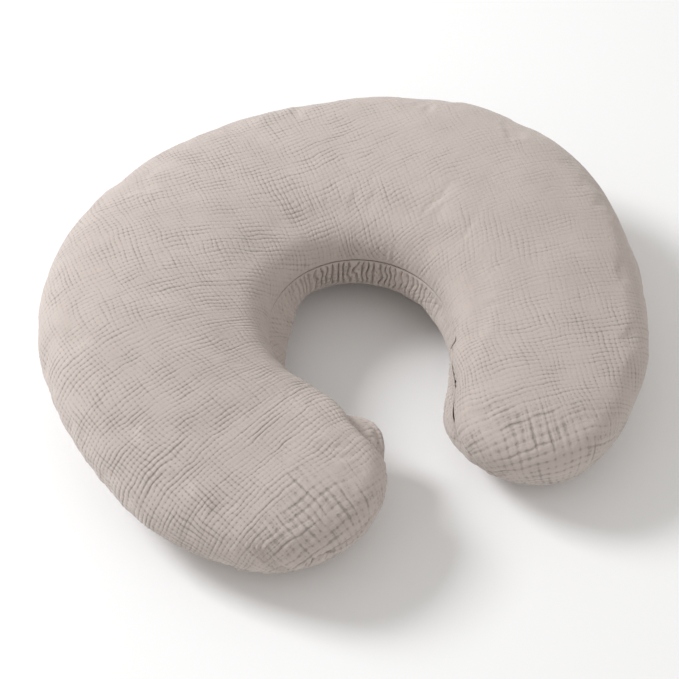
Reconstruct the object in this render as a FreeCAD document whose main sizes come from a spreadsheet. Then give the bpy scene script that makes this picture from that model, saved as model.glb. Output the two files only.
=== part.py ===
import FreeCAD, Part
import math
import os
import Sketcher

# A C-shaped nursing pillow lying flat.  +Z is up, +Y points to the closed back of the
# C, and the mouth between the two tips opens towards -Y.  The origin is on the floor,
# in the middle of the pillow's footprint.
#
# From outside to inside: a cotton cover (two panels and a zip), an inner casing (two
# panels, sewn shut) and one piece of fibre fill.
#
# Every piece is laid out round the axis of the round opening and from the seam plane,
# where top and bottom panels meet.  The back is thicker than the tips, so the pillow
# rests with its seam plane leaning towards the mouth by rest_lean.  Each body's
# Placement carries this local frame to its place over the floor.

Vector = FreeCAD.Vector

# Driving dimensions, in millimetres and degrees.
DIMENSIONS = (
    # Plan: the opening is a circle, and the arm's width changes from back to tip.
    ("opening_radius", 82.0),
    ("angle_back", 0.0),
    ("angle_side", 62.0),
    ("angle_tip", 133.5),
    ("width_back", 188.0),
    ("width_side", 210.0),
    ("width_tip", 175.0),
    # Section: how far the arm rises above the seam plane and drops below it.
    ("seam_height", 70.0),
    ("rest_lean", 4.0),
    ("rise_back", 39.0),
    ("rise_side", 48.0),
    ("rise_tip", 31.0),
    ("drop_back", 86.0),
    ("drop_side", 80.0),
    ("drop_tip", 64.0),
    ("roundness", 0.82),
    # Layers, as depths below the cover's outside.
    ("seam_slit", 1.0),
    ("cover_thickness", 1.5),
    ("casing_depth", 4.0),
    ("casing_depth_inner", 8.5),
    ("casing_thickness", 0.8),
    ("fill_clearance", 0.4),
    # Zip: angles at the opening's axis, depths from the cover's outside.
    ("zip_half_angle", 124.0),
    ("zip_park_angle", 116.0),
    ("tape_depth", 2.1),
    ("tape_slope", 3.0),
    ("tape_thickness", 0.4),
    ("tape_edge", 0.7),
    ("tape_width", 11.3),
    ("coil_depth", 4.0),
    ("coil_radius", 1.0),
    ("coil_offset", 1.7),
    ("coil_half_angle", 120.0),
    ("stop_angle", 121.5),
    ("stop_sweep", 1.2),
    ("stop_front", 3.2),
    ("stop_back", 4.8),
    ("stop_inner", 0.6),
    ("stop_outer", 2.8),
    # Slider: a plate on each side of the seam, a thin post between them, and two lugs
    # with a pin for the pull.
    ("slider_length", 10.0),
    ("slider_height", 8.0),
    ("slider_corner", 2.0),
    ("front_plate", 1.5),
    ("front_gap", 0.7),
    ("back_plate", 1.0),
    ("back_depth", 5.3),
    ("post_length", 3.0),
    ("post_height", 0.7),
    ("lug_length", 2.6),
    ("lug_inner", 1.7),
    ("lug_outer", 2.7),
    ("pin_radius", 0.6),
    ("pin_stand_off", 1.6),
    ("lug_reach", 2.7),
    # Pull: a barrel on the pin, a neck and a round-ended tab with a hole.
    ("pull_clearance", 0.08),
    ("barrel_radius", 1.3),
    ("barrel_height", 3.0),
    ("neck_start", 1.0),
    ("neck_end", 3.4),
    ("tab_start", 5.0),
    ("tab_end", 18.0),
    ("tab_half_height", 3.0),
    ("tab_thickness", 1.1),
    ("tab_hole_radius", 1.5),
    ("pull_rest_angle", 5.0),
    # Sewing thread and labels.
    ("thread_radius", 0.25),
    ("stitch_length", 5.0),
    ("stitch_pitch", 14.0),
    ("stitch_stand_off", 0.6),
    ("tape_stitch_length", 3.0),
    ("tape_stitch_pitch", 6.0),
    ("tape_stitch_height", 7.0),
    ("tape_stitch_depth", 3.15),
    ("closing_start", 18.0),
    ("closing_end", 48.0),
    ("closing_slope", 40.0),
    ("closing_pitch", 6.0),
    ("label_length", 30.0),
    ("label_height", 12.0),
    ("label_thickness", 0.35),
    ("label_drop", 1.6),
    ("label_depth", 2.6),
    ("label_slope", 1.5),
)

# The sections along the arm, from the left tip round the back to the right tip.  Each
# one lies halfway between two named places, so two equal names mean the place itself.
STATIONS = (
    (-1, "tip", "tip"),
    (-1, "side", "tip"),
    (-1, "side", "side"),
    (-1, "back", "side"),
    (1, "back", "back"),
    (1, "back", "side"),
    (1, "side", "side"),
    (1, "side", "tip"),
    (1, "tip", "tip"),
)

# Each layer's surface: its depth below the cover's outside, and that depth on the
# inner wall, where the zip needs room.  An open layer stops short of the seam plane.
LAYERS = {
    "cover_outside": ("0", "0", True),
    "cover_inside": ("dims.cover_thickness", "dims.cover_thickness", False),
    "casing_outside": ("dims.casing_depth", "dims.casing_depth_inner", True),
    "casing_inside": (
        "(dims.casing_depth + dims.casing_thickness)",
        "(dims.casing_depth_inner + dims.casing_thickness)",
        False,
    ),
    "fill": (
        "(dims.casing_depth + dims.casing_thickness + dims.fill_clearance)",
        "(dims.casing_depth_inner + dims.casing_thickness + dims.fill_clearance)",
        False,
    ),
}

# The opening's axis stands this far from the origin, so that the origin is the middle
# of the footprint.  The tips reach past the axis by tip_reach.
BACK_REACH = "(dims.opening_radius + dims.width_back)"
TIP_REACH = (
    "((dims.opening_radius + dims.width_tip / 2) * -cos(dims.angle_tip)"
    " + dims.width_tip / 2)"
)
OPENING_Y = "(%s - %s) * cos(dims.rest_lean) / 2" % (TIP_REACH, BACK_REACH)

doc = FreeCAD.newDocument("NursingPillow")
dims = doc.addObject("Spreadsheet::Sheet", "dims")
for row, (alias, number) in enumerate(DIMENSIONS, start=1):
    dims.set("A%d" % row, str(number))
    dims.setAlias("A%d" % row, alias)
doc.recompute()
reader = doc.addObject("App::FeaturePython", "reader")


def value(expression):
    """The plain number that an expression over the sheet gives."""
    result = reader.evalExpression(expression)
    return float(getattr(result, "Value", result))


def mean(quantity, station):
    """A station's width, rise, drop or angle, as an expression."""
    return "((dims.%s_%s + dims.%s_%s) / 2)" % (quantity, station[1], quantity, station[2])


def place_on_pillow(item):
    """Carry an object from the local frame to its place over the floor."""
    item.Placement = FreeCAD.Placement(Vector(), FreeCAD.Rotation(Vector(1, 0, 0), 1))
    item.setExpression(".Placement.Base.y", OPENING_Y)
    item.setExpression(".Placement.Base.z", "dims.seam_height")
    item.setExpression(".Placement.Rotation.Angle", "dims.rest_lean")


def new_body(name):
    body = doc.addObject("PartDesign::Body", name)
    body.Label = name
    place_on_pillow(body)
    return body


def new_sketch(body, name, role, turn_axis=None):
    """A sketch on one of the body's own planes, ready to be turned about turn_axis."""
    sketch = body.newObject("Sketcher::SketchObject", name)
    plane = next(item for item in body.Origin.OriginFeatures if item.Role == role)
    sketch.AttachmentSupport = [(plane, "")]
    sketch.MapMode = "FlatFace"
    if turn_axis:
        turned = FreeCAD.Rotation(turn_axis, 1)
        sketch.AttachmentOffset = FreeCAD.Placement(Vector(), turned)
    return sketch


def limit(sketch, expression, *constraint):
    """Add a constraint that has a size, and bind its size to the sheet."""
    index = sketch.addConstraint(Sketcher.Constraint(*constraint, value(expression)))
    sketch.setExpression("Constraints[%d]" % index, expression)


def radial_sketch(body, name, station, lift):
    """A sketch on the upright plane of a station: x runs outward, y runs up."""
    sketch = new_sketch(body, name, "XZ_Plane", Vector(0, 1, 0))
    angle = "90 - %d * %s" % (station[0], mean("angle", station))
    sketch.setExpression(".AttachmentOffset.Rotation.Angle", angle)
    sketch.setExpression(".AttachmentOffset.Base.y", lift)
    return sketch


def section_sizes(layer, station, way):
    """Expressions for one half section: near and far walls, height and both radii."""
    inset, inset_inner, is_open = LAYERS[layer]
    depth = mean("rise" if way > 0 else "drop", station)
    near = "(dims.opening_radius + %s)" % inset_inner
    far = "(dims.opening_radius + %s - %s)" % (mean("width", station), inset)
    tall = "(%s - %s - %s)" % (depth, inset, "dims.seam_slit / 2" if is_open else "0")
    side = "(dims.roundness * %s - %s)" % (depth, inset)
    flat = "((%s - %s) / 2 - %s)" % (far, near, side)
    crown = "((%s^2 + %s^2 - %s^2) / (2 * (%s - %s)))" % (flat, tall, side, tall, side)
    return near, far, tall, side, crown


def arc(centre_x, centre_y, radius, begin, finish, way):
    """An arc between two directions in radians, mirrored downwards when way is -1."""
    low, high = sorted((way * begin, way * finish))
    circle = Part.Circle(Vector(centre_x, way * centre_y, 0), Vector(0, 0, 1), radius)
    return Part.ArcOfCircle(circle, low, high)


def lean_angle(near, far, tall, side, crown):
    """Direction, from both arcs' centres, of the point where side and crown meet."""
    return math.atan2(crown - tall, (far - near) / 2 - side)


def draw_half_section(sketch, sizes, way):
    """Seam line, side arc upright at the seam, shallow crown arc, and side arc again."""
    near_size, far_size, tall_size, side_size, crown_size = sizes
    near, far, tall, side, crown = [value(size) for size in sizes]
    meet = lean_angle(near, far, tall, side, crown)
    middle = (near + far) / 2
    first, last = (1, 2) if way > 0 else (2, 1)
    base = sketch.addGeometry(Part.LineSegment(Vector(near, 0, 0), Vector(far, 0, 0)))
    outer = sketch.addGeometry(arc(far - side, 0, side, 0, meet, way))
    top = sketch.addGeometry(arc(middle, tall - crown, crown, meet, math.pi - meet, way))
    inner = sketch.addGeometry(arc(near + side, 0, side, math.pi - meet, math.pi, way))
    for constraint in (
        ("Coincident", base, 2, outer, first),
        ("Tangent", outer, last, top, first),
        ("Tangent", top, last, inner, first),
        ("Coincident", inner, last, base, 1),
        ("PointOnObject", outer, 3, base),
        ("PointOnObject", inner, 3, base),
        ("PointOnObject", base, 1, -1),
        ("Horizontal", base),
        ("Equal", outer, inner),
    ):
        sketch.addConstraint(Sketcher.Constraint(*constraint))
    limit(sketch, near_size, "DistanceX", -1, 1, base, 1)
    limit(sketch, far_size, "DistanceX", -1, 1, base, 2)
    limit(sketch, side_size, "Radius", outer)
    limit(sketch, crown_size, "Radius", top)


def draw_tip_profile(sketch, sizes, way):
    """The outer half of a half section, closed on the arm's upright centre line."""
    near_size, far_size, tall_size, side_size, crown_size = sizes
    near, far, tall, side, crown = [value(size) for size in sizes]
    meet = lean_angle(near, far, tall, side, crown)
    middle = (near + far) / 2
    first, last = (1, 2) if way > 0 else (2, 1)
    heart, peak = Vector(middle, 0, 0), Vector(middle, way * tall, 0)
    base = sketch.addGeometry(Part.LineSegment(heart, Vector(far, 0, 0)))
    outer = sketch.addGeometry(arc(far - side, 0, side, 0, meet, way))
    top = sketch.addGeometry(arc(middle, tall - crown, crown, meet, math.pi / 2, way))
    spine = sketch.addGeometry(Part.LineSegment(peak, heart))
    axis = sketch.addGeometry(Part.LineSegment(peak, heart), True)
    for constraint in (
        ("Coincident", base, 2, outer, first),
        ("Tangent", outer, last, top, first),
        ("Coincident", top, last, spine, 1),
        ("Coincident", spine, 2, base, 1),
        ("Coincident", axis, 1, spine, 1),
        ("Coincident", axis, 2, spine, 2),
        ("PointOnObject", outer, 3, base),
        ("PointOnObject", top, 3, spine),
        ("PointOnObject", base, 1, -1),
        ("Horizontal", base),
        ("Vertical", spine),
    ):
        sketch.addConstraint(Sketcher.Constraint(*constraint))
    limit(sketch, "(%s + %s) / 2" % (near_size, far_size), "DistanceX", -1, 1, base, 1)
    limit(sketch, far_size, "DistanceX", -1, 1, base, 2)
    limit(sketch, side_size, "Radius", outer)
    limit(sketch, crown_size, "Radius", top)


def add_tip(body, layer, station, way, lift):
    """Half a turn of the end section's outer half, which rounds the arm off."""
    side_name = "left" if station[0] < 0 else "right"
    sketch = radial_sketch(body, "%s_%s_tip" % (body.Name, side_name), station, lift)
    draw_tip_profile(sketch, section_sizes(layer, station, way), way)
    doc.recompute()
    tip = body.newObject("PartDesign::Revolution", "%s_%s_round" % (body.Name, side_name))
    tip.Profile = sketch
    tip.ReferenceAxis = (sketch, ["Axis0"])
    tip.Angle = 180.0
    tip.Reversed = station[0] * way < 0
    return tip


def cut_at_floor(body, inset):
    """Cut away everything below the floor, or below inset above the floor."""
    sketch = new_sketch(body, body.Name + "_floor", "XY_Plane", Vector(-1, 0, 0))
    height = "(dims.seam_height - %s)" % inset
    sketch.setExpression(".AttachmentOffset.Rotation.Angle", "dims.rest_lean")
    sketch.setExpression(".AttachmentOffset.Base.y", "-%s * sin(dims.rest_lean)" % height)
    sketch.setExpression(".AttachmentOffset.Base.z", "-%s * cos(dims.rest_lean)" % height)
    draw_circle(sketch, "0", "0", "2 * " + BACK_REACH)
    doc.recompute()
    pocket = body.newObject("PartDesign::Pocket", body.Name + "_flat_base")
    pocket.Profile = sketch
    pocket.Type = "ThroughAll"


def half_layer(layer, way):
    """The solid inside one layer's surface, above or below the seam plane."""
    body = new_body(layer + ("_top" if way > 0 else "_bottom"))
    lift = "%d * dims.seam_slit / 2" % way if LAYERS[layer][2] else "0"
    sketches = []
    for number, station in enumerate(STATIONS):
        sketch = radial_sketch(body, "%s_section_%d" % (body.Name, number), station, lift)
        draw_half_section(sketch, section_sizes(layer, station, way), way)
        sketches.append(sketch)
    doc.recompute()
    arm = body.newObject("PartDesign::AdditiveLoft", body.Name + "_arm")
    arm.Profile = sketches[0]
    arm.Sections = sketches[1:]
    doc.recompute()
    add_tip(body, layer, STATIONS[0], way, lift)
    add_tip(body, layer, STATIONS[-1], way, lift)
    doc.recompute()
    if way < 0:
        cut_at_floor(body, LAYERS[layer][0])
    doc.recompute()
    return body


def difference(name, base, tool):
    """A sub-part made by taking one solid out of another."""
    item = doc.addObject("Part::Cut", name)
    item.Label = name
    item.Base = base
    item.Tool = tool
    return item


def make_soft_layers():
    """Both covers' panels and the fill, each from the layer surfaces that bound it."""
    halves = {}
    for layer in LAYERS:
        halves[layer, 1] = half_layer(layer, 1)
        halves[layer, -1] = half_layer(layer, -1)
    for name in ("cover", "casing"):
        for side, way in (("top", 1), ("bottom", -1)):
            outside, inside = halves[name + "_outside", way], halves[name + "_inside", way]
            difference("%s_%s_panel" % (name, side), outside, inside)
    fill = doc.addObject("Part::MultiFuse", "fibre_fill")
    fill.Label = "fibre_fill"
    fill.Shapes = [halves["fill", 1], halves["fill", -1]]
    fill.Refine = True
    return halves


def draw_polygon(sketch, corners):
    """A closed polygon whose corners are pairs of expressions, bound to the sheet."""
    points = [Vector(value(across), value(up), 0) for across, up in corners]
    ends = points[1:] + points[:1]
    lines = [sketch.addGeometry(Part.LineSegment(*pair)) for pair in zip(points, ends)]
    for line, following in zip(lines, lines[1:] + lines[:1]):
        sketch.addConstraint(Sketcher.Constraint("Coincident", line, 2, following, 1))
    for line, (across, up) in zip(lines, corners):
        limit(sketch, across, "DistanceX", -1, 1, line, 1)
        limit(sketch, up, "DistanceY", -1, 1, line, 1)


def draw_circle(sketch, across, up, radius):
    centre = Vector(value(across), value(up), 0)
    circle = Part.Circle(centre, Vector(0, 0, 1), value(radius))
    index = sketch.addGeometry(circle)
    limit(sketch, across, "DistanceX", -1, 1, index, 3)
    limit(sketch, up, "DistanceY", -1, 1, index, 3)
    limit(sketch, radius, "Radius", index)


def rectangle(left, right, low, high):
    return ((left, low), (right, low), (right, high), (left, high))


def pad(body, sketch, length, midplane=False):
    """Thicken a sketch; a midplane pad grows half its length to each side."""
    doc.recompute()
    solid = body.newObject("PartDesign::Pad", sketch.Name + "_pad")
    solid.Profile = sketch
    solid.Midplane = midplane
    solid.setExpression("Length", length)
    return solid


def carried(name, items):
    """A sub-part whose loose solids are carried to the pillow's place."""
    group = doc.addObject("Part::Compound", name)
    group.Label = name
    group.Links = items
    place_on_pillow(group)


def stand_on_wall(item, angle, depth, turn="0"):
    """Stand an item at an angle on the opening's wall: its x runs along the wall, its
    y into the pillow and its z up, before it is turned about its own z."""
    item.Placement = FreeCAD.Placement(Vector(), FreeCAD.Rotation(Vector(0, 0, -1), 1))
    radius = "(dims.opening_radius + %s)" % depth
    item.setExpression(".Placement.Base.x", "%s * sin(%s)" % (radius, angle))
    item.setExpression(".Placement.Base.y", "%s * cos(%s)" % (radius, angle))
    item.setExpression(".Placement.Rotation.Angle", "%s - %s" % (angle, turn))


def turn_round_opening(body, sketch, sweep):
    """Sweep a section round the opening's axis, half to each side of the sketch."""
    swept = body.newObject("PartDesign::Revolution", sketch.Name + "_swept")
    swept.Profile = sketch
    swept.ReferenceAxis = (sketch, ["V_Axis"])
    swept.Midplane = True
    swept.setExpression("Angle", sweep)


def make_zip_tape(name, way):
    """A flat tape turned round the opening, leaning away from the panel's curve."""
    edge = "%d * dims.tape_edge" % way
    free = "%d * (dims.tape_edge + dims.tape_width)" % way
    front = "dims.opening_radius + dims.tape_depth"
    back = front + " + dims.tape_thickness"
    slope = " + dims.tape_slope"
    body = new_body(name)
    sketch = new_sketch(body, name + "_section", "YZ_Plane")
    corners = ((front, edge), (back, edge), (back + slope, free), (front + slope, free))
    draw_polygon(sketch, corners)
    doc.recompute()
    turn_round_opening(body, sketch, "2 * dims.zip_half_angle")


def make_zip_coil(name, way):
    """One row of closed coil, drawn as the round cord that the coil fills."""
    coil = doc.addObject("Part::Torus", name + "_cord")
    coil.setExpression("Radius1", "dims.opening_radius + dims.coil_depth")
    coil.setExpression("Radius2", "dims.coil_radius")
    coil.setExpression("Angle3", "2 * dims.coil_half_angle")
    coil.Placement.Rotation = FreeCAD.Rotation(Vector(0, 0, -1), 1)
    coil.setExpression(".Placement.Rotation.Angle", "dims.coil_half_angle - 90")
    coil.setExpression(".Placement.Base.z", "%d * dims.coil_offset" % way)
    carried(name, [coil])


def stop_block(name, angle, low, high):
    """A small metal stop just past the coils' ends, between two heights."""
    body = doc.addObject("PartDesign::Body", name)
    sketch = new_sketch(body, name + "_section", "YZ_Plane")
    front = "dims.opening_radius + dims.stop_front"
    back = "dims.opening_radius + dims.stop_back"
    draw_polygon(sketch, rectangle(front, back, low, high))
    doc.recompute()
    turn_round_opening(body, sketch, "dims.stop_sweep")
    body.Placement.Rotation = FreeCAD.Rotation(Vector(0, 0, -1), 1)
    body.setExpression(".Placement.Rotation.Angle", angle)
    return body


def make_zip_stops():
    """Two stops where the zip closes, one on each tape, and one where it opens."""
    inner, outer = "dims.stop_inner", "dims.stop_outer"
    closed_end = "-dims.stop_angle"
    upper = stop_block("top_stop_upper", closed_end, inner, outer)
    lower = stop_block("top_stop_lower", closed_end, "-" + outer, "-" + inner)
    bottom = stop_block("bottom_stop_bar", "dims.stop_angle", "-" + outer, outer)
    carried("zip_top_stops", [upper, lower])
    carried("zip_bottom_stop", [bottom])


# The slider's outer face stands this far inside the opening's wall.
FRONT_FACE = "(dims.front_gap + dims.front_plate)"


def plate_pad(body, name, half_length, half_height, depth, thickness):
    """A rectangular block on the slider, reaching from depth towards the opening."""
    sketch = new_sketch(body, name, "XZ_Plane")
    sketch.setExpression(".AttachmentOffset.Base.z", "-(%s)" % depth)
    sides = ("-" + half_length, half_length, "-" + half_height, half_height)
    draw_polygon(sketch, rectangle(*sides))
    return pad(body, sketch, thickness)


def round_corners(body, pad_feature, radius):
    """Fillet the edges that run through a plate's thickness."""
    doc.recompute()
    edges = [
        "Edge%d" % number
        for number, edge in enumerate(pad_feature.Shape.Edges, start=1)
        if abs(edge.tangentAt(edge.FirstParameter).y) > 0.99
    ]
    fillet = body.newObject("PartDesign::Fillet", pad_feature.Name + "_corners")
    fillet.Base = (pad_feature, edges)
    fillet.setExpression("Radius", radius)


def make_zip_slider():
    """Front plate, post, back plate, two lugs and the pin that the pull turns on."""
    body = doc.addObject("PartDesign::Body", "slider")
    plate_half = ("dims.slider_length / 2", "dims.slider_height / 2")
    plate = plate_pad(body, "front", *plate_half, "-dims.front_gap", "dims.front_plate")
    round_corners(body, plate, "dims.slider_corner")
    reach = "dims.back_depth + dims.front_gap + dims.front_plate / 2"
    post_half = ("dims.post_length / 2", "dims.post_height / 2")
    plate_pad(body, "post", *post_half, "dims.back_depth", reach)
    back = "dims.back_depth + dims.back_plate"
    plate_pad(body, "back", *plate_half, back, "dims.back_plate")
    lugs = new_sketch(body, "lugs", "XZ_Plane")
    lugs.setExpression(".AttachmentOffset.Base.z", FRONT_FACE)
    sides = ("-dims.lug_length / 2", "dims.lug_length / 2")
    draw_polygon(lugs, rectangle(*sides, "dims.lug_inner", "dims.lug_outer"))
    draw_polygon(lugs, rectangle(*sides, "-dims.lug_outer", "-dims.lug_inner"))
    pad(body, lugs, "dims.lug_reach")
    pin = new_sketch(body, "pin", "XY_Plane")
    draw_circle(pin, "0", "-(%s + dims.pin_stand_off)" % FRONT_FACE, "dims.pin_radius")
    pad(body, pin, "dims.lug_inner + dims.lug_outer", midplane=True)
    stand_on_wall(body, "-dims.zip_park_angle", "0")
    carried("zip_slider_body", [body])


def make_zip_pull():
    """A barrel that turns on the slider's pin, with a flat tab pointing at the tip."""
    body = doc.addObject("PartDesign::Body", "pull")
    barrel = new_sketch(body, "barrel", "XY_Plane")
    draw_circle(barrel, "0", "0", "dims.barrel_radius")
    draw_circle(barrel, "0", "0", "dims.pin_radius + dims.pull_clearance")
    pad(body, barrel, "dims.barrel_height", midplane=True)
    tab = new_sketch(body, "tab", "XZ_Plane")
    neck, wide = "dims.barrel_height / 2", "dims.tab_half_height"
    upper = (
        ("dims.tab_start", wide),
        ("dims.neck_end", neck),
        ("dims.neck_start", neck),
    )
    lower = [(across, "-" + up) for across, up in reversed(upper)]
    draw_polygon(tab, (("dims.tab_end", "-" + wide), ("dims.tab_end", wide), *upper, *lower))
    pad(body, tab, "dims.tab_thickness", midplane=True)
    end = new_sketch(body, "tab_end", "XZ_Plane")
    draw_circle(end, "dims.tab_end", "0", wide)
    pad(body, end, "dims.tab_thickness", midplane=True)
    hole = new_sketch(body, "tab_hole", "XZ_Plane")
    draw_circle(hole, "dims.tab_end", "0", "dims.tab_hole_radius")
    doc.recompute()
    pocket = body.newObject("PartDesign::Pocket", "tab_hole_cut")
    pocket.Profile = hole
    pocket.Type = "ThroughAll"
    pocket.Midplane = True
    pin_depth = "-(%s + dims.pin_stand_off)" % FRONT_FACE
    half_turn = "(180 + dims.pull_rest_angle)"
    stand_on_wall(body, "-dims.zip_park_angle", pin_depth, turn=half_turn)
    carried("zip_pull_tab", [body])


def make_label(name, way):
    """A blank woven label between cover and casing, hanging below the seam line."""
    body = doc.addObject("PartDesign::Body", name + "_slip")
    front = "-dims.label_depth"
    back = "-(dims.label_depth + dims.label_thickness)"
    top = "-dims.label_drop"
    foot = "-(dims.label_drop + dims.label_height)"
    slope = " - dims.label_slope"
    sketch = new_sketch(body, name + "_section", "YZ_Plane")
    corners = ((front, top), (back, top), (back + slope, foot), (front + slope, foot))
    draw_polygon(sketch, corners)
    pad(body, sketch, "dims.label_length", midplane=True)
    stand_on_wall(body, "%d * dims.angle_side" % way, "dims.width_side")
    carried(name, [body])


def stitch_feature(name, threads):
    """A sub-part of many separate lengths of thread, given in the local frame."""
    item = doc.addObject("Part::Feature", name)
    item.Label = name
    item.Shape = Part.makeCompound(threads)
    place_on_pillow(item)


def thread(middle, direction, length):
    """A straight length of sewing thread centred on a point."""
    start = middle - direction * (length / 2)
    return Part.makeCylinder(value("dims.thread_radius"), length, start, direction)


def seam_outline(half, pitch, stand_off):
    """Points and tangents along a layer's outline just above the seam plane.

    A positive stand_off moves the points inward, a negative one outward.
    """
    solid = half.Tip.Shape
    outline = solid.slice(Vector(0, 0, 1), value("dims.seam_slit"))[0]
    count = int(outline.Length / pitch)
    points = [Vector(p.x, p.y, 0) for p in outline.discretize(Number=count + 1)[:-1]]
    result = []
    for before, point, after in zip(points[-1:] + points, points, points[1:] + points[:1]):
        tangent = (after - before).normalize()
        inward = Vector(0, 0, 1).cross(tangent)
        probe = point + inward + Vector(0, 0, value("dims.seam_slit"))
        if not solid.isInside(probe, 0.01, True):
            inward = -inward
        result.append((point + inward * stand_off, tangent))
    return result


def polar(point):
    """A point's angle from +Y towards +X, in degrees, and its distance from the axis."""
    return math.degrees(math.atan2(point.x, point.y)), math.hypot(point.x, point.y)


def on_zip(point):
    """True on the stretch of the inner wall that the zip closes."""
    angle, radius = polar(point)
    near_wall = radius < value("dims.opening_radius + dims.width_back / 4")
    return near_wall and abs(angle) < value("dims.zip_half_angle")


def on_closing(point):
    """True on the stretch of the outer wall where the casing is closed by hand."""
    angle, radius = polar(point)
    far_wall = radius > value("dims.opening_radius + dims.width_back / 2")
    return far_wall and value("dims.closing_start") < angle < value("dims.closing_end")


def make_seam_stitches(halves):
    """Upright threads that hold each pair of panels together along the seam."""
    up, length = Vector(0, 0, 1), value("dims.stitch_length")
    pitch, stand_off = value("dims.stitch_pitch"), value("dims.stitch_stand_off")
    cover = seam_outline(halves["cover_inside", 1], pitch, stand_off)
    casing = seam_outline(halves["casing_outside", 1], pitch, -stand_off)
    cover_threads = [thread(p, up, length) for p, along in cover if not on_zip(p)]
    casing_threads = [thread(p, up, length) for p, along in casing if not on_closing(p)]
    stitch_feature("cover_seam_stitches", cover_threads)
    stitch_feature("casing_seam_stitches", casing_threads)


def make_closing_stitches(halves):
    """Slanted whip stitches where the casing is closed after filling."""
    pitch, stand_off = value("dims.closing_pitch"), value("dims.stitch_stand_off")
    slope = math.radians(value("dims.closing_slope"))
    threads = []
    for point, along in seam_outline(halves["casing_outside", 1], pitch, -stand_off):
        if on_closing(point):
            direction = along * math.sin(slope) + Vector(0, 0, math.cos(slope))
            threads.append(thread(point, direction, value("dims.stitch_length")))
    stitch_feature("casing_closing_stitches", threads)


def make_tape_stitches(name, way):
    """A row of short stitches between a tape and the panel it is sewn to."""
    radius = value("dims.opening_radius + dims.tape_stitch_depth")
    height = way * value("dims.tape_stitch_height")
    reach = value("dims.zip_half_angle")
    count = int(math.radians(2 * reach) * radius / value("dims.tape_stitch_pitch"))
    threads = []
    for number in range(count):
        angle = math.radians(-reach + 2 * reach * (number + 0.5) / count)
        middle = Vector(radius * math.sin(angle), radius * math.cos(angle), height)
        along = Vector(math.cos(angle), -math.sin(angle), 0)
        threads.append(thread(middle, along, value("dims.tape_stitch_length")))
    stitch_feature(name, threads)


SUBPARTS = (
    "cover_top_panel",
    "cover_bottom_panel",
    "cover_seam_stitches",
    "zip_tape_upper",
    "zip_tape_lower",
    "zip_tape_stitches_upper",
    "zip_tape_stitches_lower",
    "zip_coil_upper",
    "zip_coil_lower",
    "zip_top_stops",
    "zip_bottom_stop",
    "zip_slider_body",
    "zip_pull_tab",
    "care_label",
    "casing_top_panel",
    "casing_bottom_panel",
    "casing_seam_stitches",
    "casing_closing_stitches",
    "casing_label",
    "fibre_fill",
)


def check(names):
    """Stop if anything in the document failed or a sub-part has no sound solid."""
    for item in doc.Objects:
        if "Invalid" in item.State or "Error" in item.State:
            raise RuntimeError("%s: %s" % (item.Name, item.State))
    for name in names:
        shape = doc.getObject(name).Shape
        if shape.isNull() or not shape.isValid() or not shape.Solids:
            raise RuntimeError("%s has no sound solid" % name)


halves = make_soft_layers()
for side, way in (("upper", 1), ("lower", -1)):
    make_zip_tape("zip_tape_" + side, way)
    make_zip_coil("zip_coil_" + side, way)
    make_tape_stitches("zip_tape_stitches_" + side, way)
make_zip_stops()
make_zip_slider()
make_zip_pull()
make_label("care_label", 1)
make_label("casing_label", -1)
doc.recompute()
make_seam_stitches(halves)
make_closing_stitches(halves)
doc.recompute()
check(SUBPARTS)

os.makedirs("parts", exist_ok=True)
for name in SUBPARTS:
    doc.getObject(name).Shape.exportStep("parts/%s.step" % name)
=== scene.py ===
"""A C-shaped nursing pillow in crinkled cotton muslin, lying flat on a pale floor.

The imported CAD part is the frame.  Every soft piece is built here over that frame: two
cover panels, the zip's tapes and coils, an inner casing, its fibre fill, sewing thread
and labels.  The metal slider, pull and stops stay as the CAD made them.

Lengths are millimetres until a mesh is made, and Blender's metres after that.
"""

import math

import bmesh
import bpy
import numpy as np
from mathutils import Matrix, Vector


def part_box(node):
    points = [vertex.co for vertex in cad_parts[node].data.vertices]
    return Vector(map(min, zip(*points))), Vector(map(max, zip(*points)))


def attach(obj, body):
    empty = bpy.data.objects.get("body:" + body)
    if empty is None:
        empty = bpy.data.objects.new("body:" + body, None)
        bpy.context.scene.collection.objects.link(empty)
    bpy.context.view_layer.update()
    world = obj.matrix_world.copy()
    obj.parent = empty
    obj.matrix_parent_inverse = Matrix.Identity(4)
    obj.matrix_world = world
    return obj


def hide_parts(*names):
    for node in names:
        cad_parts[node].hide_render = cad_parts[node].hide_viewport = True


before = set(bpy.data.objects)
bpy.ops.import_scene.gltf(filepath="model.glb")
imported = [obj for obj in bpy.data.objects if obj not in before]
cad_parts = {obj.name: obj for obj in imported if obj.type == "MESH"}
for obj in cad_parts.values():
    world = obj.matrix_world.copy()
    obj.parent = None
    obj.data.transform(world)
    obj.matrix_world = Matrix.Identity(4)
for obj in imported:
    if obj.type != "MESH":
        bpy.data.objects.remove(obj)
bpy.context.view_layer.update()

MM = 0.001
TURN = 2 * math.pi

# ---------------- the pillow's shape
OPENING_RADIUS = 82.0
ANGLE_SIDE = 62.0
ANGLE_TIP = 133.5
WIDTHS = (188.0, 210.0, 175.0)  # back, side, tip
RISES = (39.0, 48.0, 31.0)
DROPS = (86.0, 80.0, 64.0)
DEPTHS = {1: RISES, -1: DROPS}  # above and below the widest line
ROUNDNESS = 0.82
LEAN = math.radians(4.0)
AXIS_Y = -32.832
SEAM_HEIGHT = 70.0
ZIP_HALF_ANGLE = 124.0
ZIP_FADE = 5.0

# Cells of the cover's mesh before it is refined: along the arm, round a tip, up a side.
BAND_CELLS = 190
TIP_CELLS = 42
SIDE_CELLS = 22
REFINE = 5
# The inner layers' meshes are finer than those cells by this much.
INNER_REFINE = 2

SEED = 20


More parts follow.
